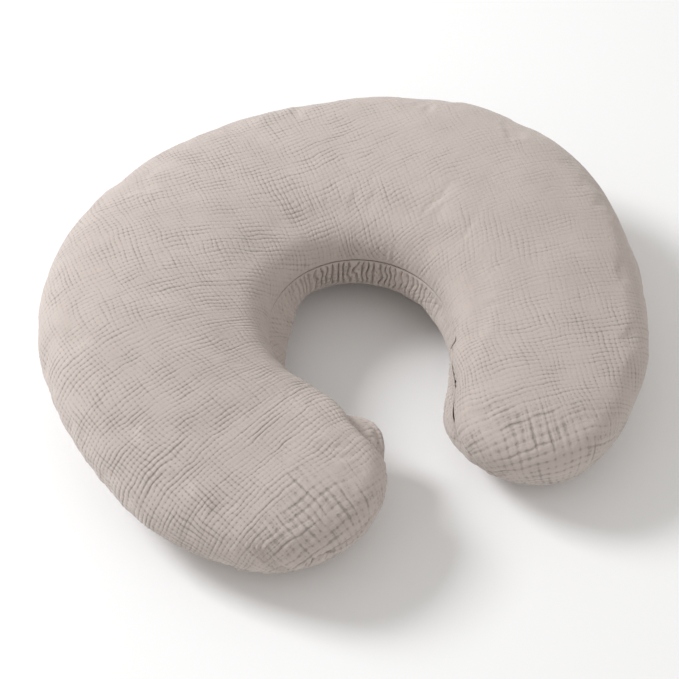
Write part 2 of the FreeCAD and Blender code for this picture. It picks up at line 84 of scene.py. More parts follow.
def blend_sizes(turn, sizes):
    """The value at each angle, eased between its values at the back, side and tip."""
    back, side, tip = sizes
    reach = np.abs(turn)
    to_side = np.clip(reach / ANGLE_SIDE, 0, 1)
    to_tip = np.clip((reach - ANGLE_SIDE) / (ANGLE_TIP - ANGLE_SIDE), 0, 1)
    ease_side = (1 - np.cos(math.pi * to_side)) / 2
    ease_tip = (1 - np.cos(math.pi * to_tip)) / 2
    return back + (side - back) * ease_side + (tip - side) * ease_tip


def to_world(points):
    """From the leaning seam frame to the frame of the CAD, both in millimetres."""
    x, y, z = points[..., 0], points[..., 1], points[..., 2]
    c, s = math.cos(LEAN), math.sin(LEAN)
    return np.stack((x, AXIS_Y + y * c - z * s, SEAM_HEIGHT + y * s + z * c), axis=-1)


class Outline:
    """Points round one half of the pillow: out along the arm, round the right tip,
    back along the opening and round the left tip."""

    def __init__(self, band, tip, inset=0.0, inset_inner=0.0):
        self.band, self.tip = band, tip
        along = np.linspace(-ANGLE_TIP, ANGLE_TIP, band + 1)
        sweep = np.linspace(0, math.pi, tip + 1)
        right, left = np.full(tip, ANGLE_TIP), np.full(tip, -ANGLE_TIP)
        self.turn = np.concatenate((along[:-1], right, along[:0:-1], left))
        # 0 where the point faces outwards, half a turn where it faces the opening.
        around = (np.zeros(band), sweep[:-1], np.full(band, math.pi), math.pi + sweep[:-1])
        facing = np.concatenate(around)
        self.facing = facing
        rad = np.radians(self.turn)
        radial = np.stack((np.sin(rad), np.cos(rad)), axis=-1)
        onward = np.stack((np.cos(rad), -np.sin(rad)), axis=-1)
        self.out = np.cos(facing)[:, None] * radial + np.sin(facing)[:, None] * onward
        width = blend_sizes(self.turn, WIDTHS)
        near = OPENING_RADIUS + inset_inner
        far = OPENING_RADIUS + width - inset
        self.centre = ((near + far) / 2)[:, None] * radial
        self.half = (far - near) / 2
        # The crown's points, which the outer and the inner band share.
        back = np.arange(band, 0, -1)
        self.crown = np.concatenate(
            (np.arange(band), np.full(tip, band), back, np.zeros(tip, int))
        )
        self.edge = self.centre + self.out * self.half[:, None]
        # Length round the cover's widest line, whichever layer this outline is of.
        rim = (OPENING_RADIUS + width / 2)[:, None] * radial
        rim = rim + self.out * (width / 2)[:, None]
        step = np.linalg.norm(np.roll(rim, -1, axis=0) - rim, axis=1)
        self.run = np.concatenate(([0.0], np.cumsum(step)[:-1]))
        self.length = step.sum()
        # 1 along the zip in the opening, fading out just past its ends.
        inner = np.isclose(facing, math.pi)
        past = np.clip((ZIP_HALF_ANGLE + ZIP_FADE - np.abs(self.turn)) / ZIP_FADE, 0, 1)
        self.zip = np.where(inner, past, 0.0)


def refined_outline(finer, *insets):
    return Outline(BAND_CELLS * finer, TIP_CELLS * finer, *insets)


def half_surface(outline, way, rows, inset=0.0, drop=0.0):
    """Points [round, up, 3] of the top (way 1) or bottom (way -1) half in the seam
    frame, with each row's distance from the seam and from the crown.  The halves meet
    at their widest line, or drop below it, measured round the section."""
    # A section is an arc up the side and then a flatter arc over the crown.
    depth = blend_sizes(outline.turn, DEPTHS[way])
    side = ROUNDNESS * depth - inset
    tall = depth - inset
    flat = outline.half - side
    crown = (flat**2 + tall**2 - side**2) / (2 * (tall - side))
    lean = np.arctan2(flat, crown - tall)
    side_run = side * (math.pi / 2 - lean)
    total = side_run + crown * lean
    first = -way * (drop + 0 * total)
    share = np.linspace(0, 1, rows + 1)
    s = first[:, None] + (total - first)[:, None] * share[None, :]
    on_side = s < side_run[:, None]
    beyond = (ROUNDNESS * blend_sizes(outline.turn, DEPTHS[-way]) - inset)[:, None]
    flat, side = flat[:, None], side[:, None] + 0 * s
    side = np.where(s < 0, beyond, side)
    flat = np.where(s < 0, outline.half[:, None] - beyond, flat)
    e = s / side
    theta = (total[:, None] - s) / crown[:, None]
    across = np.where(on_side, flat + side * np.cos(e), crown[:, None] * np.sin(theta))
    up = np.where(
        on_side,
        side * np.sin(e),
        (tall - crown)[:, None] + crown[:, None] * np.cos(theta),
    )
    plan = outline.centre[:, None, :] + outline.out[:, None, :] * across[..., None]
    points = np.concatenate((plan, way * up[..., None]), axis=-1)
    return points, s - first[:, None], total[:, None] - s


def merge(grid, outline):
    """One row per mesh vertex from a [round, up, ...] array: the crown's are shared."""
    crown = np.zeros((outline.band + 1,) + grid.shape[2:])
    crown[outline.crown] = grid[:, -1]
    body = grid[:, :-1].reshape((-1,) + grid.shape[2:])
    return np.concatenate((body, crown))


def half_faces(outline, rows, way):
    """Quads up the sides, with triangles only where a tip closes."""
    count = len(outline.turn)
    index = np.arange(count * rows).reshape(count, rows)
    crown = count * rows + outline.crown
    index = np.concatenate((index, crown[:, None]), axis=1)
    following = np.roll(index, -1, axis=0)
    a, b = index[:, :-1], following[:, :-1]
    c, d = following[:, 1:], index[:, 1:]
    faces = np.stack((a, b, c, d), axis=-1).reshape(-1, 4)
    if way > 0:
        faces = faces[:, ::-1]
    return [list(dict.fromkeys(face)) for face in faces.tolist()]


def add_object(name, data):
    item = bpy.data.objects.new(name, data)
    bpy.context.scene.collection.objects.link(item)
    return item


def discard(piece):
    mesh = piece.data
    bpy.data.objects.remove(piece)
    bpy.data.meshes.remove(mesh)


def smooth_object(name, mesh):
    mesh.polygons.foreach_set("use_smooth", np.ones(len(mesh.polygons), bool))
    return add_object(name, mesh)


def new_mesh(name, points, faces):
    """A mesh object from points in millimetres of the CAD's frame."""
    mesh = bpy.data.meshes.new(name)
    mesh.from_pydata((np.asarray(points) * MM).tolist(), [], faces)
    mesh.validate()
    return smooth_object(name, mesh)


def read_points(mesh):
    flat = np.zeros(len(mesh.vertices) * 3, np.float32)
    mesh.vertices.foreach_get("co", flat)
    return flat.reshape(-1, 3).astype(float) / MM


def read_normals(mesh):
    flat = np.zeros(len(mesh.vertices) * 3, np.float32)
    mesh.vertices.foreach_get("normal", flat)
    return flat.reshape(-1, 3).astype(float)


def write_points(mesh, points):
    mesh.vertices.foreach_set("co", (points * MM).astype(np.float32).ravel())
    mesh.update()


def add_vector(mesh, name, values):
    attribute = mesh.attributes.new(name, "FLOAT_VECTOR", "POINT")
    attribute.data.foreach_set("vector", values.astype(np.float32).ravel())


# ---------------- noise
class Waves:
    """Smooth noise: a sum of plane waves whose lengths and directions are spread
    round a chosen one.  A narrow spread gives ribs, a wide one gives blotches."""

    def __init__(self, rng, length, spread, heading=None, fan=math.pi, count=16):
        size = TURN / (length * np.exp(rng.normal(0, spread, count)))
        middle = 0.0 if heading is None else heading
        angle = middle + rng.uniform(-fan, fan, count)
        self.wave = np.stack((size * np.cos(angle), size * np.sin(angle)), axis=-1)
        self.phase = rng.uniform(0, TURN, count)
        self.gain = math.sqrt(2.0 / count)

    def __call__(self, where):
        total = np.zeros(where.shape[:-1])
        for wave, phase in zip(self.wave, self.phase):
            total += np.cos(where @ wave + phase)
        return total * self.gain


def ease(value, start, end):
    """0 below start, 1 above end, smooth between."""
    t = np.clip((value - start) / (end - start), 0, 1)
    return t * t * (3 - 2 * t)


def fade(value, start, end):
    """1 below start, 0 above end, smooth between."""
    return 1 - ease(value, start, end)


def bump(value, middle, spread):
    """1 at the middle, falling off smoothly to both sides."""
    return np.exp(-(((value - middle) / spread) ** 2))


# ---------------- the cover cloth
CLOTH_SETTINGS = {
    "quality": 6,
    "mass": 0.25,
    "tension_stiffness": 12,
    "compression_stiffness": 12,
    "shear_stiffness": 4,
    "bending_stiffness": 0.3,
    "use_pressure": True,
    "uniform_pressure_force": 4.0,
    "shrink_min": -0.035,
    "pin_stiffness": 0.6,
}
CLOTH_FRAMES = 16
LARGEST_SHIFT = 6.0
# How firmly the cloth away from its seam keeps its place.
LOOSE_HOLD = 0.02


def simulate(points, faces, pinned):
    """Inflates cloth that is slightly larger than its shape and held at its seam, and
    returns how far each point moved, in millimetres."""
    piece = new_mesh("cloth_try", points, faces)
    group = piece.vertex_groups.new(name="hold")
    for index, weight in enumerate(pinned):
        group.add([index], float(weight), "REPLACE")
    cloth = piece.modifiers.new("cloth", "CLOTH")
    for name, value in CLOTH_SETTINGS.items():
        setattr(cloth.settings, name, value)
    cloth.settings.vertex_group_mass = group.name
    cloth.settings.effector_weights.gravity = 0
    cloth.collision_settings.use_collision = False
    scene = bpy.context.scene
    for step in range(1, CLOTH_FRAMES + 1):
        scene.frame_set(step)
    graph = bpy.context.evaluated_depsgraph_get()
    result = piece.evaluated_get(graph)
    moved = read_points(result.data) - points
    discard(piece)
    scene.frame_set(1)
    moved[~np.isfinite(moved).all(axis=1)] = 0
    size = np.linalg.norm(moved, axis=1, keepdims=True)
    return moved * np.minimum(1, LARGEST_SHIFT / np.maximum(size, 1e-9))


def refine(grid, axis, closed):
    """Catmull-Rom points between those of a grid, REFINE to a cell, along one axis."""
    grid = np.moveaxis(grid, axis, 0)
    if closed:
        before, after = np.roll(grid, 1, axis=0), np.roll(grid, -1, axis=0)
        later = np.roll(grid, -2, axis=0)
        here = grid
    else:
        padded = np.concatenate(
            (2 * grid[:1] - grid[1:2], grid, 2 * grid[-1:] - grid[-2:-1])
        )
        before, here = padded[:-3], padded[1:-2]
        after, later = padded[2:-1], padded[3:]
    slope = after - before
    bend = 2 * before - 5 * here + 4 * after - later
    twist = 3 * here - before - 3 * after + later
    parts = []
    for step in range(REFINE):
        t = step / REFINE
        parts.append(0.5 * (2 * here + slope * t + bend * t**2 + twist * t**3))
    fine = np.stack(parts, axis=1).reshape((-1,) + grid.shape[1:])
    if not closed:
        fine = np.concatenate((fine, grid[-1:]))
    return np.moveaxis(fine, 0, axis)


def cloth_shift(way):
    """The cloth's own soft unevenness over one half, on the refined grid."""
    rough = refined_outline(1)
    grid, _, _ = half_surface(rough, way, SIDE_CELLS, drop=seam_drop(rough))
    held = np.full(grid.shape[:2], LOOSE_HOLD)
    held[:, 0] = 1
    faces = half_faces(rough, SIDE_CELLS, way)
    shift = simulate(to_world(merge(grid, rough)), faces, merge(held, rough))
    body = shift[: len(rough.turn) * SIDE_CELLS]
    body = body.reshape(len(rough.turn), SIDE_CELLS, 3)
    crown = shift[len(rough.turn) * SIDE_CELLS :][rough.crown]
    moved = np.concatenate((body, crown[:, None]), axis=1)
    return refine(refine(moved, 0, True), 1, False)


# ---------------- crinkles and folds
# The muslin puckers in a grid of small cells.  Where the cloth is slack, round both
# tips, a second grid of larger cells takes over.
SMALL_CELL = 4.1
LARGE_CELL = 6.6
SMALL_HEIGHT = 0.15
LARGE_HEIGHT = 0.17
SMALL_RANGE = (0.2, 1.9)
CROSSING = 0.45
DRIFT_SLOW, DRIFT_QUICK = 1.1, 0.30
# The cloth lies stretched over the arm, most of all on its inner side and below.
COVER_PULL, INNER_PULL, LOWER_PULL = 0.93, 0.12, 0.9
GRAIN_LEFT = 22.0
GRAIN_RIGHT = 8.0
GRAIN_TURN = (50, 128)

# The panels: how far their edges tuck in and stand apart, in millimetres, and how
# much of the inflated cloth's swelling they keep.
PANEL_THICKNESS = 1.0
SEAM_TUCK = 2.2
ZIP_TUCK = 1.0
TUCK_REACH = 1.6
SEAM_SLIT = 0.5
SLIT_REACH = 3.0
REST_HEIGHT = 0.5
FLOOR_GAP = 0.2
SWELL_SHARE = 0.6
SWELL_CAP = 1.8
HEM_RIDGE = 0.35
UNEVEN_HEIGHT = 0.35

# Folds and wrinkles: how far apart they lie and how high they stand.
WRINKLE_PITCH, WRINKLE_HEIGHT = 5.6, 1.3
LAYER_PITCH, LAYER_HEIGHT = 5.6, 1.5
FLAP_SLOPE, FLAP_LENGTH, FLAP_HEIGHT = 0.72, 12.0, 2.6
PUCKER_PITCH, PUCKER_HEIGHT = 5.2, 0.9
PINCH_PITCH, PINCH_HEIGHT = 6.5, 0.9
CREASE_START, CREASE_SLOPE, CREASE_WIDTH, CREASE_DEPTH = 12, 0.10, 1.5, 1.0

# The gap by the left tip and the lapped seam by the right one.
GAP_DEPTH, GAP_FALL, GAP_NOTCH = 14.0, 6.0, 2.5
NOTCH_DEPTH = 5.0
LAP_OUT, LAP_UP, LAP_ROOM = 3.0, 2.6, 1.6

# Places round the seam, as lengths in millimetres from the left tip's outer corner.
LEFT_GAP = 2019.0
LEFT_FOLD = 2179.0
RIGHT_GAP = 1497.0
RIGHT_CREASE = 1462.0
RIGHT_LIP = 1545.0
BACK_WALL = 1742.0

# Outside the opening the seam runs below the widest line.
OUTER_DROP = 24.0
DROP_ENDS = (1425.0, 1515.0)
DROP_STARTS = (2160.0, 2200.0)

# Where the cover swells out or draws in: place round the seam, reach and size.
WHOLE_SWELLS = (
    (190.0, 60.0, -0.5),
    (610.0, 130.0, 4.0),
    (860.0, 90.0, 2.5),
    (960.0, 60.0, 2.0),
    (1085.0, 80.0, -4.8),
    (1235.0, 45.0, 4.0),
    (1330.0, 35.0, -3.0),
    (1400.0, 60.0, 5.0),
    (1478.0, 45.0, 6.0),
    (2065.0, 60.0, 5.0),
    (2175.0, 45.0, 2.0),
)
SEAM_SWELLS = (
    (20.0, 75.0, 8.0),
    (90.0, 75.0, 11.0),
    (1525.0, 42.0, -8.0),
    (1548.0, 28.0, -7.0),
    (2008.0, 26.0, -11.0),
)
UPPER_SWELLS = ((1938.0, 26.0, 7.5),)
LOWER_SWELLS = (
    (1565.0, 35.0, -3.0),
    (1622.0, 50.0, 9.0),
    (1700.0, 70.0, 10.0),
    (1820.0, 40.0, 10.0),
    (1868.0, 58.0, 22.0),
    (2005.0, 34.0, 10.0),
)
# Where the lower panel stands out just under the seam.
LOWER_BULGES = ((1522.0, 34.0, 4.5), (2004.0, 26.0, 15.0))
# Where it stands up as a rim beside the gap.
LOWER_RISES = ((2010.0, 28.0, 9.0),)
# Where the cells are largest, and where their pits are deepest.
LARGE_ZONES = ((1400.0, 80.0, 0.88), (2148.0, 68.0, 0.88))
PITTED_ZONES = ((90.0, 120.0, 0.8),)


def seam_drop(outline):
    """How far below the widest line the seam runs, measured round the section."""
    inward = ease(outline.run, *DROP_ENDS) * fade(outline.run, *DROP_STARTS)
    return OUTER_DROP * (1 - inward)


def fabric_heading(turn):
    """The arm's direction on the flat cloth: it was cut with its arms a little wider
    apart than the filled pillow holds them."""
    left = GRAIN_LEFT * ease(-turn, *GRAIN_TURN)
    right = GRAIN_RIGHT * ease(turn, *GRAIN_TURN)
    return np.radians(turn + left - right)


def fabric_place(outline, from_crown, way):
    """Where each point lies on the flat muslin, whose threads run along x and y."""
    turn = np.linspace(-ANGLE_TIP, ANGLE_TIP, outline.band + 1)
    heading = fabric_heading(turn)
    onward = np.stack((np.cos(heading), -np.sin(heading)), axis=-1)
    radial = np.stack((np.sin(heading), np.cos(heading)), axis=-1)
    reach = OPENING_RADIUS + blend_sizes(turn, WIDTHS) / 2
    step = onward * (reach * math.radians(turn[1] - turn[0]))[:, None]
    spine = np.cumsum(step, axis=0)
    middle = outline.band // 2
    spine = spine - spine[middle] + np.array([0, reach[middle]])
    inner = (1 - np.cos(outline.facing)) / 2
    pull = (COVER_PULL - INNER_PULL * inner)[:, None]
    if way < 0:
        pull = pull * LOWER_PULL
    side = np.cos(outline.facing)[:, None] * radial[outline.crown]
    side = side + np.sin(outline.facing)[:, None] * onward[outline.crown]
    across = (from_crown * pull)[..., None]
    return spine[outline.crown][:, None, :] + side[:, None, :] * across


def drift(place, rng):
    """The flat place, shifted so that the grid of cells wanders as real cloth does."""
    slow = np.stack([Waves(rng, 85, 0.4, count=18)(place) for _ in range(2)], axis=-1)
    quick = np.stack([Waves(rng, 19, 0.35, count=22)(place) for _ in range(2)], axis=-1)
    return place + DRIFT_SLOW * slow + DRIFT_QUICK * quick


def line_strengths(place, rng):
    """How strongly each row of cells, along x and along y, stands out: real rows fade
    and return along their own threads."""
    lead = 0.10 * np.clip(Waves(rng, 110, 0.4, count=14)(place), -1.7, 1.7)
    strengths = []
    for stretch, share in (((0.2, 1.0), 0.52 + lead), ((1.0, 0.2), 0.48 - lead)):
        varied = Waves(rng, 11, 0.35, count=22)(place * np.array(stretch))
        strengths.append(share * np.clip(1 + 0.55 * varied, 0.15, 2.0))
    return np.stack(strengths, axis=-1)


def waffle(place, size, strengths):
    """A grid of puckered cells, their rows as strong as line_strengths() says."""
    u = place[..., 0] * TURN / size
    v = place[..., 1] * TURN / size
    ribs, cross = np.cos(v), np.cos(u)
    rows = ribs * strengths[..., 0] + cross * strengths[..., 1]
    return rows + CROSSING * ribs * cross


def slackness(outline, from_seam, place, rng):
    """How strongly the small and the large cells stand out at each point.  The cloth
    is drawn taut over the right arm."""
    low = fade(from_seam, 45, 115)
    patch = Waves(rng, 80, 0.45, count=20)(place)
    spots = Waves(rng, 24, 0.4, count=22)(place)
    large = np.clip(swell_of(outline, LARGE_ZONES) * low * (1 + 0.2 * patch), 0, 1.2)
    pitted = swell_of(outline, PITTED_ZONES) * low
    small = 0.9 + 0.12 * patch + 0.18 * spots + pitted - 0.7 * large
    taut = ease(place[..., 0], 30, 140) * ease(place[..., 1], -130, -30)
    small = np.clip(small, *SMALL_RANGE) * (1 - 0.5 * taut)
    large = large * np.clip(1 + 0.25 * spots, 0.4, 1.5)
    return small, large


def swell_of(outline, places):
    """A sum of soft swellings round the seam: each a place, a reach and a size."""
    run = outline.run[:, None]
    total = 0 * run
    for place, reach, size in places:
        apart = np.abs(run - place)
        apart = np.minimum(apart, outline.length - apart)
        total = total + size * np.exp(-((apart / reach) ** 2))
    return total


def stuffing_push(outline, from_seam, way):
    """How far the stuffing pushes the cover outwards or lets it draw in."""
    whole = swell_of(outline, WHOLE_SWELLS) * fade(from_seam, 30, 115)
    drawn = swell_of(outline, SEAM_SWELLS)
    if way > 0:
        above = swell_of(outline, UPPER_SWELLS) * bump(from_seam, 0, 16)
        return whole + drawn * bump(from_seam, 0, 34) + above
    below = swell_of(outline, LOWER_SWELLS)
    below = below * ease(from_seam, 1, 34) * fade(from_seam, 60, 120)
    bulge = swell_of(outline, LOWER_BULGES)
    bulge = bulge * ease(from_seam, 4, 17) * fade(from_seam, 26, 62)
    return whole + drawn * bump(from_seam, 0, 20) + below + bulge


def lower_folds(run, from_seam, wander):
    """Short upright wrinkles under the seam on the wall behind the waist, and long
    creases that follow the left tip below its gap."""
    row = np.cos(TURN * (run + wander) / WRINKLE_PITCH)
    pleat = 1 - 3.2 * (0.5 + 0.5 * row) ** 5
    wall = bump(run, BACK_WALL, 62) * ease(from_seam, 1, 5) * fade(from_seam, 22, 46)
    layers = np.cos(TURN * (from_seam + 0.8 * wander) / LAYER_PITCH)
    tip = bump(run, LEFT_GAP, 36) * fade(from_seam, 22, 40)
    return WRINKLE_HEIGHT * wall * pleat + LAYER_HEIGHT * tip * layers


def upper_folds(run, from_seam, wander):
    """A flap of slack cloth over the seam at the front of the left tip, with puckers
    before its edge and small pinches behind it."""
    edge = LEFT_FOLD + FLAP_SLOPE * from_seam
    across = edge - run
    flap = ease(across, -0.7, 0.7) * np.exp(-np.clip(across, 0, None) / FLAP_LENGTH)
    lift = FLAP_HEIGHT * flap * fade(from_seam, 38, 48)
    pucker = np.cos(TURN * (run - 0.5 * from_seam + wander) / PUCKER_PITCH)
    near = (1 - flap) * fade(from_seam, 34, 46)
    lift = lift + PUCKER_HEIGHT * pucker * bump(run, edge + 9, 8) * near
    pinch = np.cos(TURN * (run + wander) / PINCH_PITCH)
    behind = bump(run, LEFT_FOLD - 7, 10) * fade(from_seam, 6, 15)
    return lift + PINCH_HEIGHT * pinch * behind


def folds(outline, from_seam, way, rng):
    """Height of the creases where the cover is too full for its seam."""
    run = outline.run[:, None] + 0 * from_seam
    ring = np.stack((run, from_seam), axis=-1)
    wander = Waves(rng, 30, 0.4, count=14)(ring)
    half = upper_folds if way > 0 else lower_folds
    beside = from_seam - CREASE_START - CREASE_SLOPE * (run - RIGHT_CREASE)
    crease = bump(beside, 0, CREASE_WIDTH) * bump(run, RIGHT_CREASE, 13)
    return half(run, from_seam, wander) - CREASE_DEPTH * crease


def seam_lip(run):
    """How far the bottom panel laps over the top one's edge by the right tip."""
    return 0.62 * bump(run, RIGHT_LIP, 40) + 0.7 * bump(run, RIGHT_GAP + 6, 16)


def seam_gaps(outline, from_seam, way):
    """How far a panel's edge falls back where the seam gapes.  It is negative where
    the bottom panel laps outwards instead."""
    run = outline.run[:, None]
    if way > 0:
        notch = GAP_NOTCH * bump(run, LEFT_GAP + 8, 13) * np.exp(-from_seam / 9)
        return notch + LAP_ROOM * seam_lip(run) * np.exp(-from_seam / 5)
    hollow = GAP_DEPTH * bump(run, LEFT_GAP, 18) * bump(from_seam, 0, 4.5)
    notch = NOTCH_DEPTH * bump(run, RIGHT_GAP - 8, 10) * bump(from_seam, 0, 7.5)
    return hollow + notch - LAP_OUT * seam_lip(run) * fade(from_seam, 1, 7)


def seam_parting(outline, from_seam, way):
    """How far a panel's edge stands above the seam's line, or below it."""
    run = outline.run[:, None]
    zipped = outline.zip[:, None]
    parted = np.maximum(0.2 + 0.8 * zipped, 1.7 * bump(run, RIGHT_LIP, 48))
    rise = way * SEAM_SLIT * np.exp(-from_seam / SLIT_REACH) * parted
    if way < 0:
        brim = ease(from_seam, 0.5, 5) * fade(from_seam, 16, 45)
        rise = rise + swell_of(outline, LOWER_RISES) * brim
        rise = rise - GAP_FALL * bump(run, LEFT_GAP, 19) * bump(from_seam, 0, 3.5)
        rise = rise + LAP_UP * seam_lip(run) * fade(from_seam, 5, 16)
    return rise


def gathers(outline, from_seam, rng):
    """Small wrinkles that run away from the seam, where the panel is eased to fit."""
    run = outline.run[:, None] + 0 * from_seam
    ring = np.stack((run, from_seam * 0.22), axis=-1)
    short = Waves(rng, 8.5, 0.3, heading=0.0, fan=0.22, count=20)(ring)
    long = Waves(rng, 24, 0.4, heading=0.0, fan=0.3, count=16)(ring)
    inner = ((1 - np.cos(outline.facing)) / 2)[:, None]
    size = 0.26 + 0.1 * inner
    start = ease(from_seam, 0, 4)
    wrinkle = short * size * np.exp(-from_seam / 12) * start
    return wrinkle + 0.22 * long * np.exp(-from_seam / 30) * start


def settle(points, low, softness=0.4):
    """Flatten, softly, everything that is lower than low."""
    points[:, 2] = low + np.logaddexp(0, (points[:, 2] - low) / softness) * softness


def outward(outline):
    """The direction straight out from the section's middle, in the CAD's frame."""
    flat = np.pad(outline.out, ((0, 0), (0, 1)))
    return to_world(flat) - to_world(np.zeros((1, 3)))


def shape_panel(name, way, rng):
    """One cover panel: its inflated shape, then tucks, folds and crinkles."""
    outline = refined_outline(REFINE)
    rows = SIDE_CELLS * REFINE
    drop = seam_drop(outline)
    grid, from_seam, from_crown = half_surface(outline, way, rows, drop=drop)
    piece = new_mesh(
        name, merge(to_world(grid), outline), half_faces(outline, rows, way)
    )
    mesh = piece.data
    smooth_normal = read_normals(mesh)
    shift = merge(cloth_shift(way), outline)
    swell = (shift * smooth_normal).sum(axis=1)
    swell = (swell - np.median(swell)) * SWELL_SHARE
    swell = SWELL_CAP * np.tanh(swell / SWELL_CAP)
    base = read_points(mesh) + smooth_normal * swell[:, None]

    zipped = outline.zip[:, None]
    tuck = SEAM_TUCK + (ZIP_TUCK - SEAM_TUCK) * zipped
    if way > 0:
        tuck = tuck * (1 - 0.9 * bump(outline.run[:, None], LEFT_GAP, 24))
    tuck = tuck * np.exp(-from_seam / TUCK_REACH)
    push = stuffing_push(outline, from_seam, way)
    push = push - tuck - seam_gaps(outline, from_seam, way)
    up = to_world(np.array([0, 0, 1.0])) - to_world(np.zeros(3))
    slide = push[..., None] * outward(outline)[:, None, :]
    slide = slide + seam_parting(outline, from_seam, way)[..., None] * up
    write_points(mesh, base + merge(slide, outline))
    base = read_points(mesh)
    normal = read_normals(mesh)

    place = fabric_place(outline, from_crown, way)
    small, large = slackness(outline, from_seam, place, rng)
    wandering = drift(place, rng)
    strengths = line_strengths(place, rng)
    hem = fade(from_seam, 2.0, 9.0) * zipped
    calm = 1 - 0.75 * hem
    cells = SMALL_HEIGHT * small * waffle(wandering, SMALL_CELL, strengths)
    cells = cells + LARGE_HEIGHT * large * waffle(wandering, LARGE_CELL, strengths)
    lift = cells * calm + gathers(outline, from_seam, rng) * (1 - 0.6 * hem)
    uneven = Waves(rng, 60, 0.4, count=18)(place) * ease(from_seam, 5, 40)
    lift = lift + UNEVEN_HEIGHT * uneven + folds(outline, from_seam, way, rng)
    lift = lift + HEM_RIDGE * zipped * bump(from_seam, 2.2, 0.9)
    final = base + normal * merge(lift, outline)[:, None]
    settle(final, REST_HEIGHT)
    write_points(mesh, final)
    none = 0 * small
    # The shader uses these for the cells' relief and for the painted shade in their pits.
    slack = np.stack((small * calm, large * calm), axis=-1)
    for name, pair, third in (
        ("cloth_place", wandering, from_seam),
        ("cloth_slack", slack, none),
        ("cloth_lines", strengths, none),
    ):
        add_vector(mesh, name, merge(as_vector(pair, third), outline))
    thicken(piece, PANEL_THICKNESS)
    final = read_points(piece.data)
    final[:, 2] = np.maximum(final[:, 2], FLOOR_GAP)
    write_points(piece.data, final)
    return piece


def as_vector(pair, third):
    """The two values of each point and a third one, side by side."""
    return np.concatenate((pair, third[..., None]), axis=-1)


def thicken(piece, thickness):
    """A closed shell: the outside stays and the inside is offset inwards."""
    shell = piece.modifiers.new("shell", "SOLIDIFY")
    shell.thickness = thickness * MM
    shell.offset = -1
    apply_modifiers(piece)


def apply_modifiers(piece):
    """Replaces the piece's mesh by what its modifiers make of it."""
    graph = bpy.context.evaluated_depsgraph_get()
    mesh = bpy.data.meshes.new_from_object(piece.evaluated_get(graph))
    old = piece.data
    name = old.name
    piece.modifiers.clear()
    piece.data = mesh
    bpy.data.meshes.remove(old)
    mesh.name = name


# ---------------- materials
MUSLIN = (0.526, 0.459, 0.424)
# Painted light and shade on the muslin: a little lighter on top of a cell, darker down to
# the bottom of its pits, where shade falls.
MUSLIN_PAINTED_SHADE = ((0.0, 1.03), (0.25, 0.98), (0.6, 0.87), (1.0, 0.68))
# How deep the small cells' pits are beside the large ones', in relief and in their painted
# shade.
SMALL_SHADE = 0.62
MUSLIN_THREADS = 1.1
MUSLIN_SHEEN = {
    "Sheen Weight": 0.35,
    "Sheen Roughness": 0.55,
    "Sheen Tint": (0.95, 0.9, 0.86, 1),
    "Specular IOR Level": 0.15,
}


def material(name, colour, roughness):
    """A new material, with its node tree and its shader."""
    made = bpy.data.materials.new(name)
    made.use_nodes = True
    shader = made.node_tree.nodes["Principled BSDF"]
    tune(shader, {"Base Color": (*colour, 1), "Roughness": roughness})
    made.diffuse_color = (*colour, 1)
    return made, made.node_tree, shader


def tune(shader, values):
    for name, value in values.items():
        shader.inputs[name].default_value = value


def node(tree, kind, **values):
    """A new node; each value goes to its input or setting of that name."""
    made = tree.nodes.new(kind)
    for key, value in values.items():
        if key in made.inputs:
            made.inputs[key].default_value = value
        else:
            setattr(made, key, value)
    return made


def math_node(tree, operation, a, b=0.0):
    made = node(tree, "ShaderNodeMath", operation=operation)
    for slot, source in zip(made.inputs, (a, b)):
        if isinstance(source, (int, float)):
            slot.default_value = source
        else:
            tree.links.new(source, slot)
    return made.outputs[0]


def times(tree, a, b):
    return math_node(tree, "MULTIPLY", a, b)


def plus(tree, a, b):
    return math_node(tree, "ADD", a, b)


def ramp(tree, source, stops):
    """Colours blended along the source's value."""
    made = node(tree, "ShaderNodeValToRGB")
    elements = made.color_ramp.elements
    while len(elements) < len(stops):
        elements.new(0.5)
    for element, (position, colour) in zip(elements, stops):
        element.position = position
        element.color = (*colour, 1)
    tree.links.new(source, made.inputs[0])
    return made.outputs[0]


def texture(tree, kind, place, **values):
    """The value of a procedural texture at a place."""
    made = node(tree, "ShaderNodeTex" + kind, **values)
    tree.links.new(place, made.inputs["Vector"])
    return made.outputs["Fac"]


def overlay(tree, under, over, amount):
    mixed = node(tree, "ShaderNodeMix", data_type="RGBA", blend_type="OVERLAY")
    mixed.inputs[0].default_value = amount
    tree.links.new(under, mixed.inputs[6])
    tree.links.new(over, mixed.inputs[7])
    return mixed.outputs[2]


def emboss(tree, shader, height, strength, distance):
    """Bumps the shader's surface by a height, one unit of which is distance metres."""
    grain = node(tree, "ShaderNodeBump", Strength=strength, Distance=distance)
    tree.links.new(height, grain.inputs["Height"])
    tree.links.new(grain.outputs[0], shader.inputs["Normal"])


def scaled(colour, factor):
    return tuple(min(1.0, c * factor) for c in colour)


def toned(colour, tones):
    """Stops for ramp(): shares of one colour at positions along the value."""
    return [(position, scaled(colour, share)) for position, share in tones]


def split_vector(tree, name):
    """A vector stored on the mesh, whole and in its three parts."""
    source = node(tree, "ShaderNodeAttribute", attribute_name=name).outputs["Vector"]
    parts = node(tree, "ShaderNodeSeparateXYZ")
    tree.links.new(source, parts.inputs[0])
    return source, parts.outputs


def woven(tree, place, count, twist=0.15):
    """Height of a plain weave: count threads to a unit of place, over and under."""
    split = node(tree, "ShaderNodeSeparateXYZ")
    tree.links.new(place, split.inputs[0])
    threads = []
    for part in split.outputs[:2]:
        threads.append(math_node(tree, "SINE", times(tree, part, TURN * count)))
    sizes = [math_node(tree, "ABSOLUTE", thread) for thread in threads]
    ridges = times(tree, plus(tree, *sizes), twist)
    return plus(tree, times(tree, *threads), ridges)


